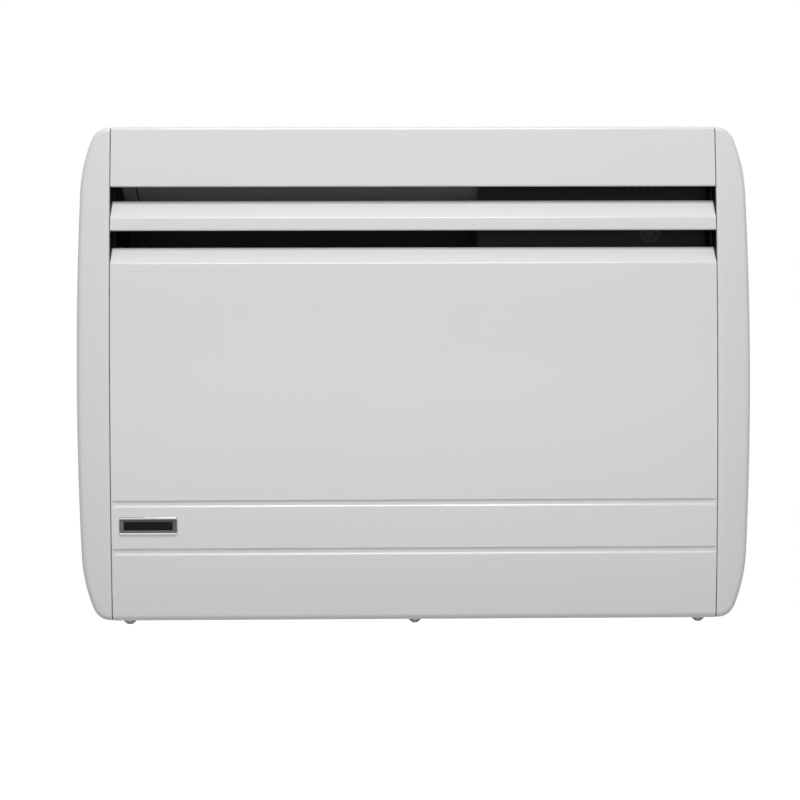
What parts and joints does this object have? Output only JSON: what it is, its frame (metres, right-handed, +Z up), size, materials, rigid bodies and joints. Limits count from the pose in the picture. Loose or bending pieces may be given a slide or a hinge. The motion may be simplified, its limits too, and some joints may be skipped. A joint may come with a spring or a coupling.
{
  "type": "panel convector heater",
  "caption": "Wall-hung panel convector heater with bowed front, sloping louvre slots, bulged end caps, tilt-forward wall bracket and top controls in a recess.",
  "frame": {"origin": "on the wall plane, at the centre of the four wall screw holes of the bracket", "axes": "+X to the right as seen from the room, +Y into the wall, +Z up; the front faces -Y"},
  "size_m": [0.6088, 0.112, 0.4554],
  "materials": {
    "white_enamel": "satin powder coat",
    "cap_plastic": "moulded, satin",
    "black_enamel": "matt black powder coat",
    "zinc_plate": "zinc plated",
    "bright_chrome": "bright plated",
    "badge_black": "gloss",
    "galvanised_steel": "galvanised",
    "black_rubber": "matt",
    "cast_aluminium": "extruded, matt",
    "stainless_sheath": "heat-tinted",
    "ceramic": "unglazed ceramic",
    "brown_phenolic": "moulded",
    "cream_phenolic": "moulded",
    "knob_plastic": "moulded, satin",
    "copper_bulb": "drawn copper",
    "black_plastic": "moulded, fine grain",
    "red_plastic": "gloss",
    "amber_lens": "clear amber",
    "blue_insulation": "extruded",
    "glass_sleeving": "braided glass sleeving",
    "spring_steel": "spring steel"
  },
  "bodies": {
    "wall_bracket": {"bracket_rail_left": "galvanised_steel", "bracket_rail_right": "galvanised_steel", "bracket_bar_upper": "galvanised_steel", "bracket_bar_lower": "galvanised_steel", "pivot_pins": "zinc_plate", "catch_clips": "spring_steel"},
    "heater": {"front_panel": "white_enamel", "top_panel": "white_enamel", "outlet_louvre": "white_enamel", "left_end_cap": "cap_plastic", "right_end_cap": "cap_plastic", "left_side_frame": "black_enamel", "right_side_frame": "black_enamel", "rear_casing": "black_enamel", "inlet_grille": "white_enamel", "bottom_screws": "zinc_plate", "cap_screws": "zinc_plate", "badge_frame": "bright_chrome", "badge_plate": "badge_black", "air_deflector": "galvanised_steel", "partition_plate": "galvanised_steel", "control_cover": "black_enamel", "cover_plug": "black_rubber", "element_fins": "cast_aluminium", "heating_rod": "stainless_sheath", "rod_supports": "galvanised_steel", "ceramic_bushes": "ceramic", "thermal_cutout": "brown_phenolic", "control_fascia": "cap_plastic", "thermostat_body": "cream_phenolic", "sensor_bulb": "copper_bulb", "rocker_housing": "black_plastic", "mode_switch": "black_plastic", "pilot_lamp": "amber_lens", "terminal_block": "cream_phenolic", "supply_leads": "blue_insulation", "element_leads": "glass_sleeving", "cable_bush": "black_rubber", "casing_ears": "galvanised_steel", "catch_studs": "zinc_plate"},
    "knob": {"thermostat_knob": "knob_plastic"},
    "rocker": {"power_rocker": "red_plastic"},
    "slider": {"mode_slider": "black_plastic"}
  },
  "joints": [
    {"name": "heater_tilt", "type": "hinge", "parent": "wall_bracket", "child": "heater", "pos_m": [0, -0.0095, -0.199], "axis": [1, 0, 0], "range_deg": [0, 20]},
    {"name": "knob_turn", "type": "hinge", "parent": "heater", "child": "knob", "pos_m": [0.2218, -0.05815, 0.214], "axis": [0, 0, 1], "range_deg": [-135, 135]},
    {"name": "power_rock", "type": "hinge", "parent": "heater", "child": "rocker", "pos_m": [0.1738, -0.05815, 0.2134], "axis": [0, 1, 0], "range_deg": [-14, 0]},
    {"name": "mode_slide", "type": "slide", "parent": "heater", "child": "slider", "axis": [1, 0, 0], "range_m": [-0.006, 0.006]}
  ]
}
